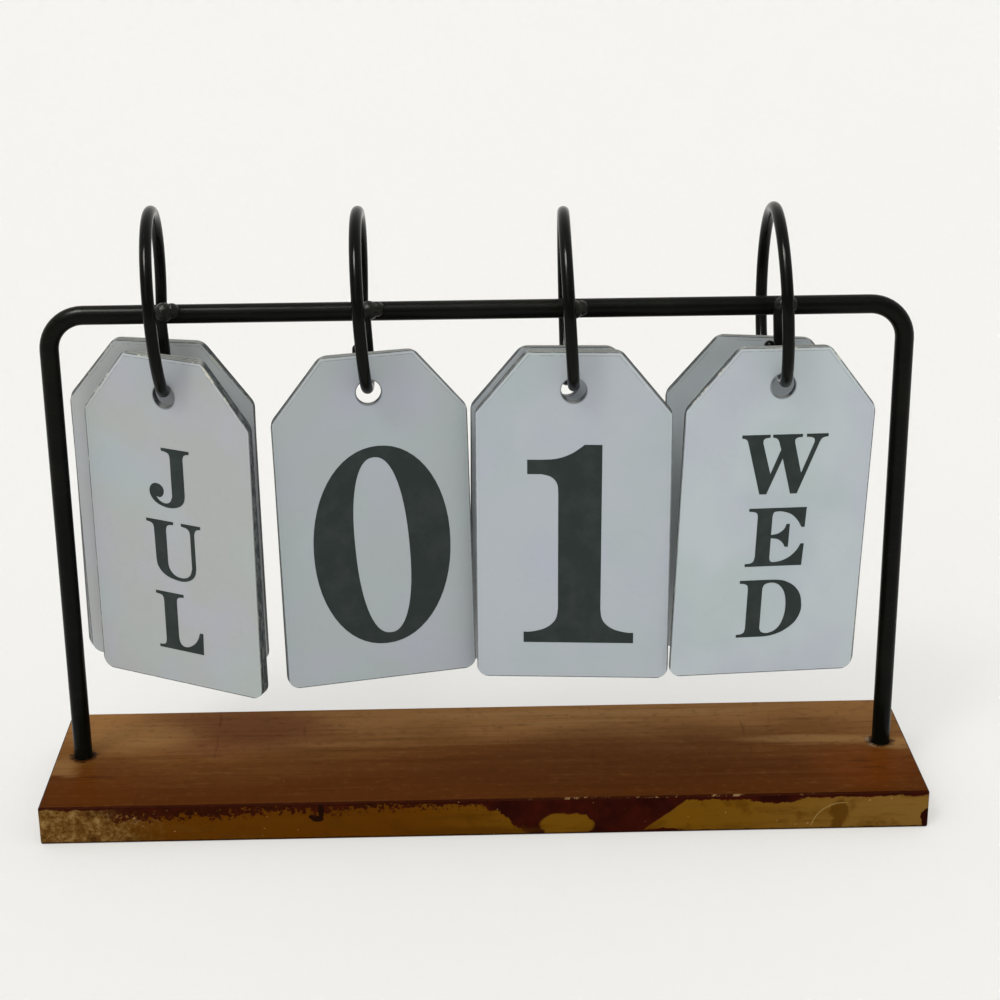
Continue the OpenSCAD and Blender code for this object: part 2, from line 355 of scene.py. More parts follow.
def edgeOfBoard(tree, spot, x, z, front):
    # ochre wood under a ragged strip and patches of dark stain
    fine = wood(tree, spot, "fine")
    mid = wood(tree, spot, "mid")
    wide = wood(tree, spot, "wide")
    grain = wood(tree, spot, "edgeGrain")
    across = wobble(tree, x, (fine, 2.6), (mid, 6))
    up = wobble(tree, z, (fine, 2.2), (mid, 3))
    edge = blendColour(tree, fade(tree, wobble(tree, x, (wide, 60)), -30 * mm, 30 * mm),
                       board["edgeOchre"], board["edgeTan"])
    edge = layer(tree, edge, board, (x, 70 * mm, 150 * mm, 0.8, "edgeEnd"),
                 (grain, 0.50, 0.68, 0.5, "smudge"), (grain, 0.46, 0.30, 0.3, "dull"),
                 (mid, 0.52, 0.68, 0.5, "smudge"))
    dull = ramp(tree, wood(tree, spot, "mottle"), (0.36, board["dullDark"]),
                (0.48, board["dull"]), (0.66, board["dullPale"]))
    leftEnd = wobble(tree, x, (mid, 26), (wide, 14))
    edge = blendColour(tree, fade(tree, leftEnd, -108 * mm, -128 * mm, 0.0, 0.85), edge, dull)

    stained = stainOnFront(tree, spot, x, z, across, up, mid)
    other = fade(tree, wood(tree, spot, "otherSides"), 0.56, 0.58)
    mask = plus(tree, times(tree, stained, front), times(tree, other, minus(tree, 1.0, front)))
    reach = fade(tree, x, 0, -40 * mm, 12.4, 12.9)
    strip = fade(tree, minus(tree, up, times(tree, reach, mm)), -0.25 * mm, 0.25 * mm)
    tone = ramp(tree, mid, (0.38, board["stainDark"]), (0.6, board["stain"]))
    edge = blendColour(tree, largest(tree, mask, strip), edge, tone)

    smudge = marked(tree, across, up, "smudgeHigh", "smudgeLow", "smudgeLeft")
    hooked = largest(tree, marked(tree, x, wobble(tree, z, (mid, 1)), "hookStem"),
                     marked(tree, x, z, "hookBend", "hookTip"))
    scratch = times(tree, scratchOnFront(tree, x, z), front)
    sparks = fade(tree, wood(tree, spot, "sparks"), 0.785, 0.81)
    edge = tint(tree, edge, board, (times(tree, smudge, front), 0.75, "smudge"),
                (hooked, front, "line"), (scratch, 0.32, "scratch"), (sparks, 0.5, "chip"))
    # a dark line along the foot of each side: painted shade where the board stands on the floor
    return layer(tree, edge, board,
                 (wobble(tree, z, (fine, 1)), 1.2 * mm, 0.5 * mm, 0.9, "line"))


def makeWood():
    material, tree, shader = finish("stainedWood")
    out = place(tree)
    spot = out["Object"]
    x, y, z = split(tree, spot)
    facing = split(tree, out["Normal"])
    grain = wood(tree, spot, "grain")
    front = fade(tree, facing[1], -0.4, -0.6)
    level = absolute(tree, facing[2])
    sideways = fade(tree, level, 0.72, 0.5)
    whole = blendColour(tree, sideways, topOfBoard(tree, spot, x, y, grain),
                        edgeOfBoard(tree, spot, x, z, front))
    # the broken corner along the top: dark, with pale chips right of the middle in front
    rim = times(tree, fade(tree, level, 0.52, 0.6), fade(tree, level, 0.9, 0.8))
    chips = times(tree, rim, fade(tree, z, 9 * mm, 11 * mm),
                  fade(tree, wood(tree, spot, "chips"), 0.52, 0.58),
                  fade(tree, x, 8 * mm, 40 * mm), fade(tree, x, 118 * mm, 96 * mm))
    whole = tint(tree, whole, board, (rim, 0.85, "stainDark"), (chips, 0.55, "chip"))
    underside = fade(tree, facing[2], -0.8, -0.95)
    plank = ramp(tree, grain, (0.35, board["underDark"]), (0.65, board["under"]))
    bump = relief(tree, grain, board["grainStrength"], board["grainDepth"])
    bump = relief(tree, wood(tree, spot, "pores"), board["poreStrength"], board["poreDepth"], bump)
    feed(tree, shader, {
        "Base Color": blendColour(tree, underside, whole, plank),
        "Roughness": plus(tree, board["roughness"], times(tree, grain, board["roughGrain"]),
                          times(tree, sideways, board["roughEdge"])),
        "Specular IOR Level": board["specular"], "Normal": bump})
    return material


dress("base_board", makeWood())
print("board: wood finished")


# the black rod, the wires, the weld beads and the screws

steel = {
    "rodBlack": paint(9, 10, 7), "worn": paint(20, 21, 16), "scuff": paint(84, 82, 70),
    "wireBlack": paint(10, 11, 9), "bead": paint(32, 32, 28), "beadDark": paint(9, 10, 7),
    "bright": paint(176, 173, 165), "brightDark": paint(150, 147, 140),
    "rodRoughness": 0.26, "wireRoughness": 0.17, "beadRoughness": 0.3, "screwRoughness": 0.24,
    "specular": 0.06, "beadSpecular": 0.12, "rodWear": 0.72, "wireWear": 0.74,
    "gritDepth": 0.05 * mm, "smearDepth": 0.15 * mm, "beadDepth": 0.5 * mm,
}


def makeBlackSteel(name, kind):
    # kind is rod or wire; scuffs show where their noise passes the wear
    material, tree, shader = finish(name)
    spot = place(tree)["Object"]
    grit = cloud(tree, spot, 900, 3, 0.6)
    smear = cloud(tree, stretch(tree, spot, (18, 60, 60)), 1.0, 5, 0.6, 0.3)
    scuff = cloud(tree, spot, 260, 5, 0.72)
    wear = steel[kind + "Wear"]
    base = layer(tree, steel[kind + "Black"], steel, (smear, 0.35, 0.7, 0.5, "worn"),
                 (scuff, wear, wear + 0.05, 0.7, "scuff"))
    bump = relief(tree, grit, 0.12, steel["gritDepth"])
    feed(tree, shader, {
        "Base Color": base,
        "Roughness": plus(tree, steel[kind + "Roughness"],
                          times(tree, minus(tree, smear, 0.5), 0.25)),
        "Specular IOR Level": steel["specular"],
        "Normal": relief(tree, smear, 0.15, steel["smearDepth"], bump)})
    return material


def makeBead():
    material, tree, shader = finish("weldBead")
    ripple = cloud(tree, place(tree)["Object"], 420, 5, 0.65, 0.4)
    feed(tree, shader, {
        "Base Color": ramp(tree, ripple, (0.35, steel["beadDark"]), (0.62, steel["bead"])),
        "Roughness": steel["beadRoughness"], "Specular IOR Level": steel["beadSpecular"],
        "Normal": relief(tree, ripple, 0.6, steel["beadDepth"])})
    return material


def makeScrewSteel():
    material, tree, shader = finish("screwSteel")
    lathe = cloud(tree, place(tree)["Object"], 700, 4, 0.6)
    feed(tree, shader, {
        "Base Color": ramp(tree, lathe, (0.3, steel["brightDark"]), (0.7, steel["bright"])),
        "Metallic": 1.0,
        "Roughness": plus(tree, steel["screwRoughness"], times(tree, lathe, 0.2))})
    return material


rodFinish = makeBlackSteel("blackRod", "rod")
wireFinish = makeBlackSteel("blackWire", "wire")
beadFinish = makeBead()
dress("frame_rod", rodFinish)
for column in ("month", "tens", "units", "weekday"):
    dress(column + "_hook", wireFinish)
    dress(column + "_weld", beadFinish)
dress("base_screws", makeScrewSteel())
print("metal: rod, hooks, welds and screws finished")


# the tags, with sizes from the middle of the hole

tagShape = {
    "halfWidth": 32.75 * mm, "top": 13.2 * mm, "foot": -103.3 * mm, "halfTop": 15.5 * mm,
    "cutFoot": -7.8 * mm, "holeRadius": 4.25 * mm, "halfThick": 0.5 * mm,
}


def tagPlace(name):
    # where a tag hangs, read from its solid: the middle of its hole, its turn and its swing
    shape = nodes[name].data
    face = max(shape.polygons, key=lambda p: p.area).normal
    turn = atan2(face.x, -face.y) if face.y < 0 else atan2(-face.x, face.y)
    across = Vector((cos(turn), sin(turn), 0))
    through = Vector((-sin(turn), cos(turn), 0))
    points = [Vector(p) for p in {tuple(round(c, 7) for c in v.co) for v in shape.vertices}]
    flat = [Vector((p.dot(across), p.z)) for p in points]
    centre = sum(flat, Vector((0, 0))) / len(flat)
    # the outline is the same left and right, so its long axis gives the swing
    spread = sum((p.y - centre.y) ** 2 - (p.x - centre.x) ** 2 for p in flat)
    slope = sum((p.x - centre.x) * (p.y - centre.y) for p in flat)
    swing = atan2(2 * slope, spread) / 2
    right = Vector((cos(swing), -sin(swing)))
    up = Vector((sin(swing), cos(swing)))
    sides = [p.dot(right) for p in flat]
    depths = [p.dot(through) for p in points]
    hole = (right * (min(sides) + max(sides)) / 2
            + up * (max(p.dot(up) for p in flat) - tagShape["top"]))
    middle = across * hole.x + through * (min(depths) + max(depths)) / 2 + Vector((0, 0, hole.y))
    return middle, turn, swing


tagPlaces = {name: tagPlace(name) for name in sorted(nodes) if "_tag_" in name}

tagPaint = {
    "month": paint(165, 167, 166), "tens": paint(162, 168, 170), "units": paint(170, 176, 181),
    "weekday": paint(178, 186, 189), "lilac": paint(167, 169, 186), "green": paint(159, 174, 171),
    "rearPaintedLight": paint(240, 243, 244), "side": paint(58, 62, 64), "sideLight": paint(98, 102, 102),
    "sideTopHighlight": paint(158, 160, 154), "worn": paint(200, 198, 180), "pale": paint(198, 202, 200),
    "dark": paint(46, 50, 52),
}

tagLook = {
    "roughness": 0.24, "roughSmudge": 0.08, "roughSide": 0.3, "specular": 0.1,
    "rearPaintedLightShare": 0.3, "rimWidth": 0.1 * mm, "rimRag": 0.36 * mm, "edgeHighlightAt": 0.78 * mm,
    "grooveAt": 1.25 * mm, "chipWidth": 1.4 * mm, "fewChips": 0.12, "dotsPerMetre": 95.0,
    "smudgeDepth": 0.2 * mm,
}

# the first tag of each column that hangs behind the frame; from it on the tags are painted paler,
# painted light that fills the shade the front tags cast on them; no tens tag hangs there
tagRear = {"month": 4, "tens": 9, "units": 4, "weekday": 3}

# how much the paint has chipped along the top of each tag
tagChips = {"month_tag_1": 1.0, "month_tag_4": 0.8, "weekday_tag_1": 0.7, "weekday_tag_3": 0.5}


def tagMatrix(name):
    middle, turn, swing = tagPlaces[name]
    return Matrix.Translation(middle) @ Euler((0, swing, turn), "XYZ").to_matrix().to_4x4()


def insetOnTag(tree, x, z):
    # how far a spot lies inside the tag's outline
    toSide = minus(tree, tagShape["halfWidth"], absolute(tree, x))
    toFoot = minus(tree, z, tagShape["foot"])
    toTop = minus(tree, tagShape["top"], z)
    run = tagShape["halfWidth"] - tagShape["halfTop"]
    rise = tagShape["top"] - tagShape["cutFoot"]
    length = hypot(run, rise)
    toCut = plus(tree, times(tree, toSide, rise / length),
                 times(tree, minus(tree, tagShape["cutFoot"], z), run / length))
    return smallest(tree, toSide, toFoot, toTop, toCut)


def makeTagFinish(name, seed):
    material, tree, shader = finish(name + "Enamel")
    out = place(tree)
    middle, turn, swing = tagPlaces[name]
    # the tag's own axes: across, through, up, from the middle of its hole
    own = addNode(tree, "ShaderNodeMapping",
                  {"Vector": out["Object"], "Location": middle, "Rotation": (0, swing, turn)},
                  vector_type="TEXTURE").outputs["Vector"]
    facing = addNode(tree, "ShaderNodeMapping",
                     {"Vector": out["Normal"], "Rotation": (0, swing, turn)},
                     vector_type="TEXTURE").outputs["Vector"]
    x, _, z = split(tree, own)
    side = fade(tree, absolute(tree, split(tree, facing)[1]), 0.8, 0.4)
    inset = insetOnTag(tree, x, z)
    fromHole = minus(tree, distance(tree, x, z), tagShape["holeRadius"])
    shifted = stretch(tree, own, (1, 1, 1), (seed * 0.37, seed * 0.11, seed * 0.23))
    drift = cloud(tree, shifted, 34, 2, 0.5)
    driftTwo = cloud(tree, stretch(tree, shifted, (1, 1, 1), (5, 3, 1)), 30, 2, 0.5)
    column, number = name.split("_tag_")
    # tags behind the frame get a share of a pale colour: painted light for the shade they stand in
    rearPaintedLight = tagLook["rearPaintedLightShare"] if int(number) >= tagRear[column] else 0.0
    face = layer(tree, tagPaint[column], tagPaint, (drift, 0.45, 0.68, 0.4, "lilac"),
                 (driftTwo, 0.45, 0.68, 0.4, "green"))
    face = blendColour(tree, rearPaintedLight, face, tagPaint["rearPaintedLight"])

    # a thin dark line where the enamel thins, at the rim and round the hole
    rag = cloud(tree, shifted, 330, 4, 0.7)
    rimWidth = plus(tree, tagLook["rimWidth"], times(tree, rag, tagLook["rimRag"]))
    rim = fade(tree, minus(tree, inset, rimWidth), 0.12 * mm, -0.05 * mm)
    rimHole = fade(tree, fromHole, 0.5 * mm, 0.2 * mm)
    # a pale line inside the rim, which is a painted highlight on the rounded edge, a dark one inside
    # that, and chips, most along the top
    chip = cloud(tree, shifted, 190, 5, 0.75)
    upper = fade(tree, z, -12 * mm, 6 * mm, 0.15, 1.0)
    edgeHighlight = fade(tree, absolute(tree, minus(tree, inset, tagLook["edgeHighlightAt"])), 0.26 * mm, 0.1 * mm)
    groove = absolute(tree, minus(tree, inset, tagLook["grooveAt"]))
    groove = fade(tree, groove, 0.2 * mm, 0.06 * mm)
    chipWidth = times(tree, fade(tree, chip, 0.5, 0.68), upper,
                      tagLook["chipWidth"] * tagChips.get(name, tagLook["fewChips"]))
    chipped = fade(tree, minus(tree, inset, chipWidth), 0.1 * mm, -0.1 * mm)
    # a few dark specks
    dots = addNode(tree, "ShaderNodeTexVoronoi",
                   {"Vector": shifted, "Scale": tagLook["dotsPerMetre"], "Randomness": 1.0},
                   feature="F1").outputs
    keep = fade(tree, split(tree, dots["Color"])[0], 0.955, 0.965)
    speck = times(tree, fade(tree, dots["Distance"], 0.07, 0.04), keep)
    face = tint(tree, face, tagPaint, (rim, 0.75, "dark"), (rimHole, 0.5, "dark"),
                (times(tree, edgeHighlight, upper), 0.5, "pale"),
                (times(tree, groove, upper, fade(tree, chip, 0.4, 0.5)), 0.3, "dark"),
                (chipped, 0.8, "worn"), (speck, 0.7, "dark"))

    # the side faces are dark; those that face up are painted paler, a painted highlight along the top
    # edges
    level = split(tree, out["Normal"])[2]
    sideTone = layer(tree, tagPaint["side"], tagPaint, (rag, 0.45, 0.62, 1.0, "sideLight"),
                     (level, 0.75, 0.95, 0.8, "sideTopHighlight"))
    smudge = cloud(tree, shifted, 60, 4, 0.6, 0.4)
    feed(tree, shader, {
        "Base Color": blendColour(tree, side, face, sideTone),
        "Roughness": plus(tree, tagLook["roughness"], times(tree, smudge, tagLook["roughSmudge"]),
                          times(tree, side, tagLook["roughSide"])),
        "Specular IOR Level": tagLook["specular"],
        "Normal": relief(tree, smudge, 0.02, tagLook["smudgeDepth"])})
    return material


for seed, name in enumerate(tagPlaces, 1):
    dress(name, makeTagFinish(name, seed))
print("tags: %d enamelled" % len(tagPlaces))


# the print: bold serif figures and letters, drawn on a body 100 high

letter = {"hair": 5.6, "slab": 5.0, "bracket": 9.0, "slantBracket": 11}
figure = {"slab": 5.2, "bracket": 10.5}


def arc(cx, cy, rx, ry, fromAngle, toAngle, steps=12, power=2.0):
    # part of an ellipse; a power above 2 makes it squarer
    points = []
    for i in range(steps + 1):
        a = radians(fromAngle + (toAngle - fromAngle) * i / steps)
        c, s = cos(a), sin(a)
        points.append((cx + rx * (1 if c >= 0 else -1) * abs(c) ** (2 / power),
                       cy + ry * (1 if s >= 0 else -1) * abs(s) ** (2 / power)))
    return points


def flow(knots, steps=6):
    # a smooth line through the knots
    pts = [Vector(k) for k in knots]
    pts = [pts[0] * 2 - pts[1]] + pts + [pts[-1] * 2 - pts[-2]]
    line = []
    for i in range(1, len(pts) - 2):
        p0, p1, p2, p3 = pts[i - 1:i + 3]
        for s in range(steps + (1 if i == len(pts) - 3 else 0)):
            t = s / steps
            line.append(0.5 * ((2 * p1) + (p2 - p0) * t + (2 * p0 - 5 * p1 + 4 * p2 - p3) * t * t
                               + (3 * p1 - p0 - 3 * p2 + p3) * t ** 3))
    return line


def trace(*runs):
    # one closed outline from corners (x, y) and smooth runs [(x, y), ...]
    outline = []
    for run in runs:
        outline += [tuple(p) for p in flow(run)] if isinstance(run, list) else [run]
    return [outline]


def box(x0, y0, x1, y1):
    return [[(x0, y0), (x1, y0), (x1, y1), (x0, y1)]]


def stem(style, x0, x1, y0=0.0, y1=100.0, foot=None, head=None):
    # an upright stroke; foot and head give how far the serifs reach left and right
    t, b = style["slab"], style["bracket"]
    right, left = [], []
    if foot:
        fl, fr = foot
        right += [(x1 + fr, y0), (x1 + fr, y0 + t)] + arc(x1 + fr, y0 + t + b, fr, b, 270, 180)
        left += [(x0 - fl, y0), (x0 - fl, y0 + t)] + arc(x0 - fl, y0 + t + b, fl, b, 270, 360)
    else:
        right += [(x1, y0)]
        left += [(x0, y0)]
    if head:
        hl, hr = head
        if hr:
            right += arc(x1 + hr, y1 - t - b, hr, b, 180, 90)
        right += [(x1 + hr, y1 - t), (x1 + hr, y1)]
        if hl:
            left += arc(x0 - hl, y1 - t - b, hl, b, 0, 90)
        left += [(x0 - hl, y1 - t), (x0 - hl, y1)]
    else:
        right += [(x1, y1)]
        left += [(x0, y1)]
    return [right + left[::-1]]


def brush(knots, steps=9):
    # a stroke of changing width along a smooth curve; a knot is (x, y, half width)
    line = flow(knots, steps)
    left, right = [], []
    for i, p in enumerate(line):
        d = line[min(i + 1, len(line) - 1)] - line[max(i - 1, 0)]
        n = Vector((-d.y, d.x)).normalized()
        left.append((p.x + n.x * p.z, p.y + n.y * p.z))
        right.append((p.x - n.x * p.z, p.y - n.y * p.z))
    return [right + left[::-1]]


def ball(x, y, r):
    # a round drop at the end of a stroke
    return [arc(x, y, r, r, 0, 345, 23)]


def ring(cx, cy, outerX, outerY, innerX, innerY, outerPower=2.0, innerPower=2.0, lean=0.0):
    # a round figure in one piece, cut through at its foot
    outer = arc(cx, cy, outerX, outerY, -90, 270, 60, outerPower)
    inner = [(x - lean * (y - cy), y) for x, y in
             arc(cx, cy, innerX, innerY, 270, -90, 60, innerPower)]
    return [outer + inner]


def bowl(x, y0, y1, reach, thick, hair, power=2.3):
    # the right half of a ring that grows out of a stem at x
    cy, ry = (y0 + y1) / 2, (y1 - y0) / 2
    return [arc(x, cy, reach, ry, -90, 90, 30, power)
            + arc(x, cy, reach - thick, ry - hair, 90, -90, 30, power)]


def slant(x0, x1, x2, x3, y0, y1):
    # a stroke from x0 to x1 at its foot to x2 to x3 at its head
    return [[(x0, y0), (x1, y0), (x3, y1), (x2, y1)]]


def footSlab(x0, x1, left, right):
    # a serif under a slanted stroke from left to right, with hollow brackets
    t = letter["slab"]
    top = t + letter["slantBracket"]
    return trace((x0, 0), (x0, t), [(x0, t), (x0 + 0.6 * (left - x0), 1.3 * t), (left, top)],
                 (right, top), [(right, top), (x1 - 0.6 * (x1 - right), 1.3 * t), (x1, t)],
                 (x1, 0))


def pierced(outline, counter, x):
    # one outline with its counter, joined by a cut at the head of the stem at x
    body = outline[0]
    hole = [tuple(p) for p in flow(counter, 5)]
    start = next(i for i, p in enumerate(body) if p[0] >= x)
    return [body[:start] + [(x, 100), hole[0]] + hole[::-1] + [(x, 100)] + body[start:]]


def drawLetters():
    # each glyph is its width and its outlines
    h = letter["hair"]
    return {
        "I": (48, stem(letter, 12, 36, foot=(12, 12), head=(12, 12))),
        "J": (80, trace(
            (27, 95), (27, 100), (80, 100), (80, 95),
            [(80, 95), (74, 94), (69.5, 91), (67.6, 85)],
            [(67.6, 24), (65.5, 14), (58, 5.5), (45.1, 0.5), (29.4, 0), (12.5, 5.1),
             (2.4, 15), (0, 25.5), (3.9, 34.5), (12, 38.6), (21.5, 36.8), (27.2, 30.5),
             (26.4, 21.5), (20, 15.5), (12.5, 16.6)],
            [(12.5, 16.6), (18, 10.2), (28.3, 6.4), (37.9, 9.5), (43.2, 19)],
            [(43.1, 85), (41, 91), (35.5, 93.8), (27, 95)])),
        "L": (88, trace(
            (0, 95), (0, 100), (54, 100), (54, 95),
            [(54, 95), (46, 93.8), (41.5, 91), (40, 85)],
            [(40, 22), (42.5, 13), (49, 8.2), (59, 9.2), (70.5, 16.8), (77.5, 26.7),
             (81.5, 37.5)], (88, 37.5), (87, 0), (1, 0), (1, 4.8),
            [(1, 4.8), (9.5, 5.9), (13.5, 9), (15, 16)],
            [(15, 85), (13.5, 91), (9, 93.8), (0, 95)])),
        "E": (97, trace(
            (1, 95), (1, 100), (97, 100), (96, 66), (90.5, 66),
            [(90.5, 66), (83, 78), (72, 88.3), (58, 93.4), (47, 93.8), (42.5, 92),
             (40.6, 86)],
            [(40.6, 53.8), (52, 56), (61.5, 63), (65.3, 72)], (70.8, 72), (70.5, 32.5),
            (65, 32.5), [(65, 32.5), (60.5, 40), (52, 46.3), (40.6, 48.2)],
            [(40.6, 15), (42, 9.5), (47, 6.8), (61.5, 9), (75, 15.8), (85.5, 26.5),
             (91.5, 37.5)], (97, 37.5), (95.5, 0), (0, 0), (0, 4.8),
            [(0, 4.8), (9, 5.8), (14, 9), (16, 16)],
            [(16, 85), (14.5, 91), (10, 93.8), (1, 95)])),
        "F": (94, trace(
            (1, 95), (1, 100), (94, 100), (93, 66), (87.5, 66),
            [(87.5, 66), (81, 78), (71, 88.3), (57, 93.4), (47, 93.8), (42.5, 92),
             (40.6, 86)],
            [(40.6, 52), (52, 54), (61, 61), (64.5, 70)], (70, 70), (69.7, 30),
            (64.2, 30), [(64.2, 30), (60, 38), (52, 44.3), (40.6, 46.4)],
            [(40.6, 16), (42.5, 9), (47, 6), (56, 4.8)], (56, 0), (0, 0), (0, 4.8),
            [(0, 4.8), (9, 5.8), (14, 9), (16, 16)],
            [(16, 85), (14.5, 91), (10, 93.8), (1, 95)])),
        "H": (112, stem(letter, 13, 37, foot=(12, 12), head=(12, 12))
              + stem(letter, 75, 99, foot=(12, 12), head=(12, 12)) + box(34, 47.4, 78, 47.4 + h)),
        "D": (107, pierced(
            trace((0, 95), (0, 100),
                  [(52, 100), (64, 99.4), (77, 96.6), (92, 88), (103, 74), (107.5, 55), (106, 39),
                   (97, 22.5), (79, 8.8), (60, 1.8), (44, 0)], (0, 0), (0, 4.8),
                  [(0, 4.8), (8, 5.8), (13, 9), (14.6, 16)],
                  [(14.6, 85), (13, 91), (8.5, 93.8), (0, 95)]),
            [(39, 85), (42.5, 92), (53.8, 94.8), (65.6, 91), (75.5, 79), (80, 60.6), (79.7, 39.7),
             (74, 21), (64.7, 10.4), (52.1, 6), (42.5, 8.4), (39, 15)], 39)),
        "B": (92, stem(letter, 14, 38, foot=(13, 2), head=(13, 2)) + box(36, 0, 52, h)
              + box(36, 100 - h, 50, 100) + box(36, 49, 52, 49 + h)
              + bowl(49, 49, 100, 35, 23, h) + bowl(51, 0, 49 + h, 41, 25, h)),
        "P": (88, stem(letter, 14, 38, foot=(13, 14), head=(13, 2)) + box(36, 100 - h, 50, 100)
              + box(36, 42, 50, 42 + h) + bowl(49, 42, 100, 39, 25, h)),
        "R": (104, stem(letter, 14, 38, foot=(13, 12), head=(13, 2)) + box(36, 100 - h, 50, 100)
              + box(36, 45, 56, 45 + h) + bowl(49, 45, 100, 38, 24, h)
              + brush([(56, 47, 4), (65, 43, 9), (71, 33, 12), (73, 20, 12), (78, 8, 9.5),
                       (88, 3, 3.6), (98, 6, 2.4), (102, 11, 1.6)])),
        "T": (98, trace(
            (27, 0), (27, 4.8), [(27, 4.8), (33, 5.8), (36.5, 9), (38, 16)],
            [(38, 88), (35, 93), (28, 93.8), (19, 88), (11.5, 77), (8, 66)],
            (2.5, 66), (2, 100), (96, 100), (95.5, 66),
            [(90, 66), (86.5, 77), (79, 88), (70, 93.8), (63, 93), (60, 88)],
            [(60, 16), (61.5, 9), (65, 5.8), (71, 4.8)], (71, 0))),
        "U": (104, trace(
            (0, 95), (0, 100), (52, 100), (52, 95),
            [(52, 95), (44, 93.8), (39.5, 91), (37.5, 85)],
            [(37.6, 29), (39.5, 19), (46, 10.5), (56, 5.9), (69, 6.2), (79, 12.7),
             (83.5, 25)], [(83.5, 84), (81.5, 90), (76.5, 93.4), (67, 95)], (67, 100),
            (104, 100), (104, 95), [(104, 95), (97.5, 93.6), (93.5, 90), (91.6, 84)],
            [(91.6, 26), (88.6, 13.5), (80, 4.6), (66, -0.4), (52, 0), (36, 3.6),
             (24, 11), (17, 21), (15, 33)],
            [(14.2, 85), (12.5, 91), (8, 93.8), (0, 95)])),
        "V": (104, trace(
            (0, 95), (0, 100), (48, 100), (48, 95),
            [(48, 95), (41.5, 94), (38, 91), (38, 85)], (60.5, 31),
            [(80, 85), (79.5, 91), (75, 94), (67, 95)], (67, 100), (104, 100), (104, 95),
            [(104, 95), (96.5, 93.8), (91.5, 90.5), (88.5, 85)], (57.5, 0), (47, 0),
            [(12, 85), (9.5, 91), (6, 93.6), (0, 95)])),
        "W": (143, trace(
            (0, 94.8), (0, 100), (46.5, 100), (46.5, 95),
            [(46.5, 95), (40, 94.2), (36, 91.5), (35.5, 86)], (51, 34), (65.8, 74.5),
            [(61.5, 88), (58.5, 92.5), (54.5, 94.4), (50.8, 95)], (50.8, 100),
            (100, 100), (100, 95), [(100, 95), (93, 94.2), (88.5, 91.5), (88, 86)],
            (102, 34.5), [(120.3, 86), (119.5, 91.5), (114.5, 94.2), (106.5, 95)],
            (106.5, 100), (142.7, 100), (142.7, 95),
            [(142.7, 95), (136, 93.8), (131.5, 91), (128.8, 86)], (97.5, 0), (86.3, 0),
            (69.6, 59.6), (46.7, 0), (35.2, 0),
            [(11.5, 84), (9.5, 90), (5.8, 93.4), (0, 94.8)])),
        "Y": (104, trace(
            (25, 0), (25, 4.8), [(25, 4.8), (34, 5.8), (38.5, 9), (40, 16)], (40, 43),
            [(13, 86), (9, 91), (5, 94), (0, 95)], (0, 100), (47, 100), (47, 95),
            [(47, 95), (41.5, 94), (39, 91.5), (40.5, 87)], (60.5, 53),
            [(79, 85), (79.5, 91), (75, 94), (67, 95)], (67, 100), (104, 100), (104, 95),
            [(104, 95), (96.5, 93.8), (91, 90), (87, 84)], (64, 47),
            [(64, 16), (65.5, 9), (70, 5.8), (79, 4.8)], (79, 0))),
        "A": (112, slant(14, 22, 46, 54, 2, 98) + slant(72, 98, 46, 64, 2, 100)
              + footSlab(0, 38, 12, 22) + footSlab(62, 112, 72, 97)
              + box(25, 30, 84, 30 + h)),
        "M": (140, trace(
            (0, 0), (0, 4.8), [(0, 4.8), (9, 5.8), (13.5, 9), (15, 16)],
            [(15, 85), (13.5, 91), (9, 93.8), (0, 95)], (0, 100), (44, 100), (71, 33),
            (97, 100), (140, 100), (140, 95),
            [(140, 95), (131, 93.8), (126.5, 91), (125, 85)],
            [(125, 16), (126.5, 9), (131, 5.8), (140, 4.8)], (140, 0), (86, 0), (86, 4.8),
            [(86, 4.8), (94, 5.8), (99, 9), (101, 16)], (101, 84), (66, 0), (58, 0),
            (22.5, 84), [(22.5, 16), (24.5, 9), (29, 5.8), (37, 4.8)], (37, 0))),
        "N": (112, trace(
            (0, 0), (0, 4.8), [(0, 4.8), (9, 5.8), (13.5, 9), (15, 16)],
            [(15, 86), (12.5, 91), (8, 94), (0, 95)], (0, 100), (35, 100), (88, 33),
            [(88, 85), (86.5, 91), (82, 94), (73, 95)], (73, 100), (112, 100), (112, 95),
            [(112, 95), (103, 94), (98, 91), (96.3, 85)], (96.3, -1.5), (88, -1.5),
            (22.5, 81), [(22.5, 16), (24.5, 9), (29, 5.8), (38, 4.8)], (38, 0))),
        "O": (100, ring(50, 50, 50, 51.5, 24.5, 46.3)),
        "C": (94, brush([(84, 66, 2.2), (80, 80, 2.6), (70, 92, 3.0), (52, 98, 3.0), (32, 92, 7.5),
                         (17, 72, 12.2), (13.5, 50, 13.0), (17, 28, 12.4), (32, 8.5, 7.8),
                         (53, 2.2, 3.4), (72, 8, 2.8), (84, 20, 2.4), (89, 32, 2.2)], 7)
              + box(80, 64, 85.5, 101)),
        "G": (104, brush([(82, 66, 2.2), (78, 80, 2.6), (68, 92, 3.0), (51, 98, 3.0), (32, 92, 7.5),
                          (17, 72, 12.2), (13.5, 50, 13.0), (17, 28, 12.4), (32, 8.5, 7.8),
                          (51, 2.2, 3.4), (66, 5, 2.8), (74, 10, 2.4)], 7)
              + box(78, 64, 83.5, 101) + stem(letter, 66, 90, 3, 44, head=(14, 12))),
        "S": (78, brush([(66, 70, 2.2), (60, 86, 2.8), (44, 97.5, 3.0), (26, 95, 6.5), (16, 82, 9.6),
                         (20, 66, 11.6), (38, 53, 12.6), (56, 41, 12.2), (62, 25, 10.2),
                         (54, 8.5, 6.8), (36, 2.4, 3.2), (18, 10, 2.8), (9.5, 30, 2.4)], 7)
              + box(64.5, 66, 69.5, 101) + box(6.5, -1, 11.5, 33)),
    }


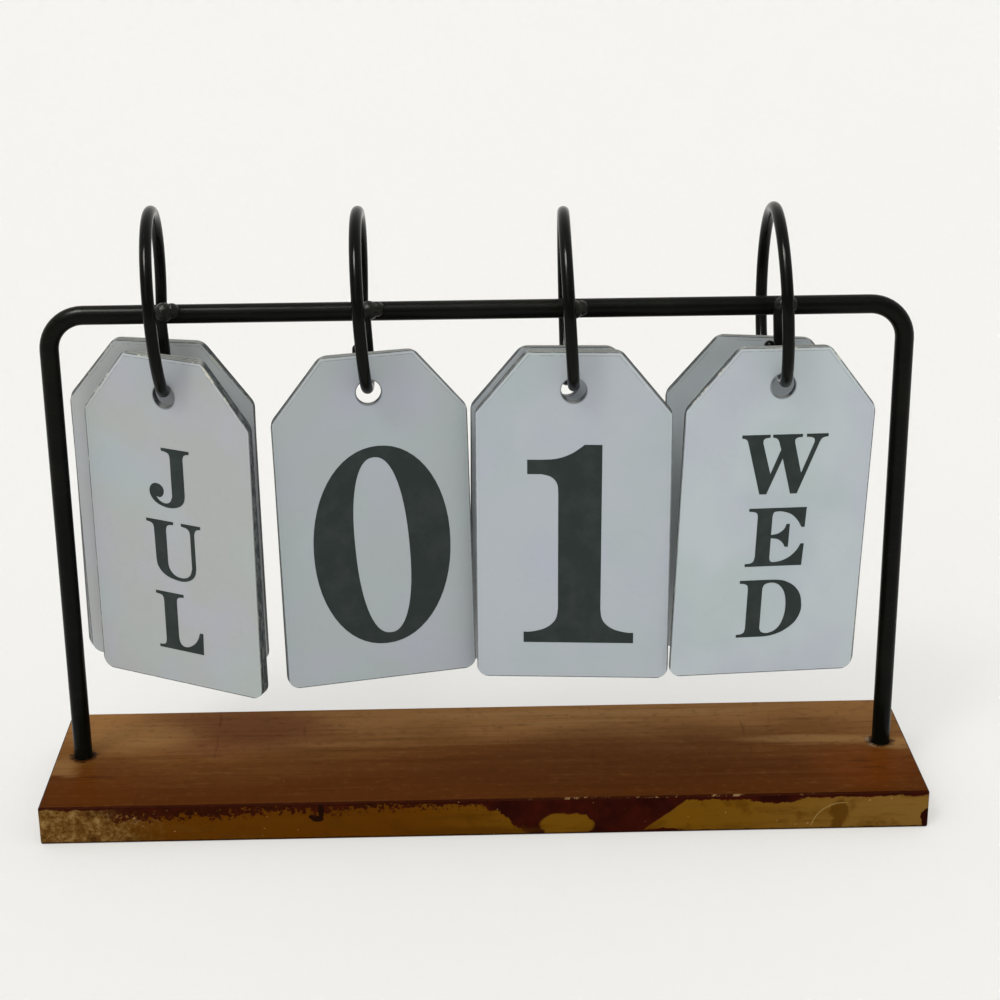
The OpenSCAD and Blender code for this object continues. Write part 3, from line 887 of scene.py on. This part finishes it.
def drawFigures():
    six = (ring(34, 31.5, 29.5, 31.5, 10.5, 27.2, 2.1, 2.3)
           + brush([(55, 83, 3.2), (50.5, 93, 3.0), (39, 97.4, 2.6), (26, 91.5, 6.2),
                    (17, 75, 9.6), (14, 53, 10.4), (14.4, 32, 10.0)], 9) + ball(50, 81, 9.6))
    return {
        "0": (65.3, ring(32.65, 50, 32.65, 50, 12.9, 44.6, 2.08, 2.3, 0.045)),
        "1": (52.4, trace(
            (0, 0), (52.4, 0), (52.4, 5.4),
            [(52.4, 5.4), (49, 5.5), (43.5, 6.9), (39.6, 9.4), (37.3, 12.8),
             (36.6, 17.5)],
            (36.8, 100), [(28.6, 100), (26.9, 98.6), (23.05, 95.9), (18.3, 93.8),
                          (13.75, 92.8), (8.3, 92.5)], (1.9, 92.5), (1.9, 85.4),
            [(8.6, 85.4), (12.4, 84.4), (14.9, 82.4), (16.1, 79.8), (16.4, 76)],
            [(16.4, 17.5), (15.6, 12.8), (13.2, 9.4), (9.2, 6.9), (3.6, 5.5),
             (0, 5.4)])),
        "2": (64, brush([(14, 66, 6), (10, 79, 3.4), (17, 92, 3.0), (30, 97.3, 2.8), (42, 94, 7.0),
                         (49, 82, 10.2), (48, 68, 10.4), (40, 52, 7.4), (26, 36, 4.4), (12, 20, 3.2),
                         (4, 7, 2.4)], 9)
              + ball(14.5, 71, 10.5)
              + trace((0.5, 0), (59, 0), (63.5, 31), (59, 31),
                      [(59, 31), (56, 23), (50, 17.6), (42, 16)], (15, 16), (6, 14), (0.5, 8.5))),
        "3": (62, brush([(10, 80, 3.2), (13, 91, 3.0), (24, 97.3, 2.7), (36, 94.5, 6.0), (44.5, 84, 9.6),
                         (45, 71, 9.4), (37, 59.5, 5.4), (23, 54.4, 2.6)], 9)
              + brush([(22, 54.2, 2.6), (36, 53, 3.4), (47.5, 44, 9.6), (50.5, 29, 11.2),
                       (45.5, 13, 9.6), (33, 3.6, 4.2), (20, 2.6, 2.6), (9, 9, 3.0), (5.5, 20, 3.4)], 9)
              + ball(14, 79, 9.8) + ball(13, 21, 10.6)),
        "4": (66, stem(figure, 34, 54.2, 0, 100, foot=(12, 10)) + box(0, 24, 66, 24 + 6)
              + slant(0, 7, 41, 50, 26, 100)),
        "5": (62, box(9, 52, 13.5, 100)
              + [[(9, 100), (9, 84), (20, 83), (36, 84), (50, 89), (55, 100), (52.5, 100), (44, 97),
                  (30, 96), (18, 97.5)]]
              + brush([(10, 53, 2.4), (22, 63, 3.0), (36, 62, 5.0), (48, 50, 10.0), (51, 33, 11.2),
                       (46, 15, 9.6), (33, 3.4, 4.0), (18, 3.2, 2.8), (7, 12, 3.2), (9, 23, 7)], 8)
              + ball(12, 23, 10.5)),
        "6": (64, six),
        "7": (60, [[(4, 100), (3, 68), (7, 68)] + arc(20, 68, 13, 13.5, 180, 90, 10)
                   + [(44, 81.5), (46, 78), (30, 42), (20, 0), (44, 0), (46, 30), (54, 62), (60, 86),
                      (60, 100), (50, 96), (36, 95), (22, 98)]]),
        "8": (64, ring(32, 74.5, 24.5, 25.5, 10, 21.2, 2.1, 2.3)
              + ring(32, 28.0, 31, 28.0, 11.5, 23.6, 2.1, 2.3)),
        "9": (64, [[(64 - x, 100 - y) for x, y in part] for part in six]),
    }


glyphs = {**drawLetters(), **drawFigures()}

ink = {
    "thick": 0.05 * mm, "step": 0.002 * mm, "letterHeight": 21.0, "rowPitch": 26.0,
    "firstRow": -27.9, "figureHeight": 71.6, "figureMiddle": -54.5, "figureShift": 2.0,
    "letterShift": 0.6, "colour": paint(42, 49, 47), "worn": paint(56, 62, 60),
    "roughness": 0.28, "specular": 0.08,
}

# what each tag says on its front and on its back
tagWords = {
    "month_tag_1": ("JUL", "AUG"), "month_tag_2": ("SEP", "OCT"), "month_tag_3": ("NOV", "DEC"),
    "month_tag_4": ("JAN", "FEB"), "month_tag_5": ("MAR", "APR"), "month_tag_6": ("MAY", "JUN"),
    "tens_tag_1": ("0", "1"), "tens_tag_2": ("2", "3"),
    "units_tag_1": ("1", "0"), "units_tag_2": ("2", "3"), "units_tag_3": ("4", "5"),
    "units_tag_4": ("6", "7"), "units_tag_5": ("8", "9"),
    "weekday_tag_1": ("WED", "THU"), "weekday_tag_2": ("FRI", "SAT"),
    "weekday_tag_3": ("SUN", "MON"), "weekday_tag_4": ("", "TUE"),
}

# where the letters of the shown words stand, in mm: sideways for each row, and the whole word up
rowShift = {"WED": (2.2, 1.5, 1.3), "JUL": (0.2, 0.5, 0.8)}
wordLift = {"WED": 0.6, "JUL": -0.7}


def stampGlyph(mesh, char, height, x, z, back):
    # lays one glyph on the tag's face; x and z are its middle, in mm from the hole
    width, outlines = glyphs[char]
    scale = height / 100
    face = -tagShape["halfThick"]
    for part, outline in enumerate(outlines):
        area = sum(a[0] * b[1] - b[0] * a[1] for a, b in zip(outline, outline[1:] + outline[:1]))
        verts = []
        for u, v in outline if area > 0 else outline[::-1]:
            spot = Vector(((x + (u - width / 2) * scale) * mm, face, (z + (v - 50) * scale) * mm))
            if not verts or (verts[-1].co - spot).length >= 1e-7:
                verts.append(mesh.verts.new(spot))
        grown = bmesh.ops.extrude_face_region(mesh, geom=[mesh.faces.new(verts)])
        moved = [g for g in grown["geom"] if isinstance(g, bmesh.types.BMVert)]
        bmesh.ops.translate(mesh, verts=moved, vec=(0, -ink["thick"] - part * ink["step"], 0))
        if back:
            bmesh.ops.rotate(mesh, verts=list(set(verts) | set(moved)), cent=(0, 0, 0),
                             matrix=Matrix.Rotation(pi, 3, "Z"))


def stampWord(mesh, word, back):
    if word.isdigit():
        stampGlyph(mesh, word, ink["figureHeight"], ink["figureShift"], ink["figureMiddle"], back)
        return
    shifts = rowShift.get(word, (ink["letterShift"],) * 3)
    for row, char in enumerate(word):
        stampGlyph(mesh, char, ink["letterHeight"], shifts[row],
                   ink["firstRow"] - row * ink["rowPitch"] + wordLift.get(word, 0.0), back)


def makeInk():
    material, tree, shader = finish("printInk")
    patchy = cloud(tree, place(tree)["Object"], 120, 3, 0.6)
    feed(tree, shader, {
        "Base Color": layer(tree, ink["colour"], ink, (patchy, 0.4, 0.7, 0.5, "worn")),
        "Roughness": plus(tree, ink["roughness"], times(tree, patchy, 0.14)),
        "Specular IOR Level": ink["specular"]})
    return material


inkFinish = makeInk()
for name, (frontWord, backWord) in tagWords.items():
    mesh = bmesh.new()
    stampWord(mesh, frontWord, False)
    stampWord(mesh, backWord, True)
    bmesh.ops.recalc_face_normals(mesh, faces=mesh.faces)
    bmesh.ops.transform(mesh, matrix=tagMatrix(name), verts=mesh.verts)
    printed = addMesh(name + "_print", mesh, inkFinish)
    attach(printed, name)
print("print: %d tags printed" % len(tagWords))


# the studio; a direction points from the object to its light

studio = {
    "floor": (0.872, 0.862, 0.836, 1.0), "floorRoughness": 0.9, "floorSpecular": 0.1,
    "floorHalf": 6.0, "backdrop": paint(247, 246, 242), "air": (1.0, 1.0, 0.99, 1.0),
    "airStrength": 0.82, "roomStrength": 0.3, "evenFloor": 0.4, "evenStrength": 0.97,
    "sun": {"strength": 0.6, "angle": 50.0, "from": (-0.32, -0.66, 0.68)},
    "spark": {"strength": 0.42, "angle": 12.0, "from": (-0.38, -0.5, 0.78)},
    # a softbox that only shiny parts see
    "box": {"from": (-0.32, -0.30, 0.90), "strength": 60.0, "inner": 0.993, "outer": 0.978},
}


def seenRays(tree):
    # 1 for what the camera sees, straight or in a shiny or clear part; then the shiny ones alone
    rays = addNode(tree, "ShaderNodeLightPath").outputs
    seen = largest(tree, rays["Is Camera Ray"], rays["Is Glossy Ray"], rays["Is Transmission Ray"])
    return seen, rays["Is Glossy Ray"]


def makeFloor():
    material, tree, shader = finish("paleFloor")
    feed(tree, shader, {"Base Color": studio["floor"], "Roughness": studio["floorRoughness"],
                        "Specular IOR Level": studio["floorSpecular"]})
    # what is seen of the floor is a little evener than it is lit
    seen, _ = seenRays(tree)
    glow = addNode(tree, "ShaderNodeEmission",
                   {"Color": studio["backdrop"], "Strength": studio["evenStrength"]})
    both = addNode(tree, "ShaderNodeMixShader",
                   {0: times(tree, seen, studio["evenFloor"]), 1: shader.outputs[0],
                    2: glow.outputs[0]})
    output = next(n for n in tree.nodes if n.type == "OUTPUT_MATERIAL")
    feed(tree, output, {"Surface": both.outputs[0]})
    mesh = bmesh.new()
    bmesh.ops.create_grid(mesh, x_segments=2, y_segments=2, size=studio["floorHalf"])
    addMesh("floor", mesh, material)


def makeWorld():
    world = bpy.data.worlds.new("studioAir")
    bpy.context.scene.world = world
    world.use_nodes = True
    air = world.node_tree
    background = next(n for n in air.nodes if n.type == "BACKGROUND")
    seen, glossy = seenRays(air)
    away = place(air)["Generated"]
    _, back, up = split(air, away)
    # shiny parts see the backdrop behind and above, and a dimmer room in front
    room = largest(air, fade(air, back, -0.5, 0.2, studio["roomStrength"], 1.0),
                   fade(air, up, 0.5, 0.8))
    mirrored = minus(air, 1.0, times(air, glossy, minus(air, 1.0, room)))
    strength = fade(air, seen, 0.0, 1.0, studio["airStrength"], 1.0)
    box = studio["box"]
    toBox = addNode(air, "ShaderNodeVectorMath", {0: away, 1: box["from"]},
                    operation="DOT_PRODUCT").outputs["Value"]
    glint = times(air, glossy, fade(air, toBox, box["outer"], box["inner"], 0.0, box["strength"]))
    feed(air, background, {"Color": blendColour(air, seen, studio["air"], studio["backdrop"]),
                           "Strength": plus(air, times(air, strength, mirrored), glint)})


def addSun(name):
    lamp = bpy.data.lights.new(name, "SUN")
    lamp.energy = studio[name]["strength"]
    lamp.angle = radians(studio[name]["angle"])
    holder = bpy.data.objects.new(name, lamp)
    bpy.context.scene.collection.objects.link(holder)
    holder.rotation_euler = Vector(studio[name]["from"]).to_track_quat("Z", "Y").to_euler()


# where the photograph was taken from, fitted to the board, the posts and the bar
view = {
    "lens": 75.776, "sensor": 36.0, "near": 0.01, "far": 50.0,
    "place": (-8.534, -676.497, 357.838), "turn": (69.853, 0.475, -1.459),
}


def addCamera():
    lens = bpy.data.cameras.new("photoCamera")
    lens.sensor_width = view["sensor"]
    lens.lens = view["lens"]
    lens.clip_start = view["near"]
    lens.clip_end = view["far"]
    camera = bpy.data.objects.new("photoCamera", lens)
    bpy.context.scene.collection.objects.link(camera)
    camera.location = Vector(view["place"]) * mm
    camera.rotation_euler = Euler([radians(a) for a in view["turn"]], "XYZ")
    bpy.context.scene.camera = camera


makeFloor()
makeWorld()
addSun("sun")
addSun("spark")
addCamera()
bpy.context.scene.view_settings.view_transform = "Standard"
print("studio: floor, lights and camera set")
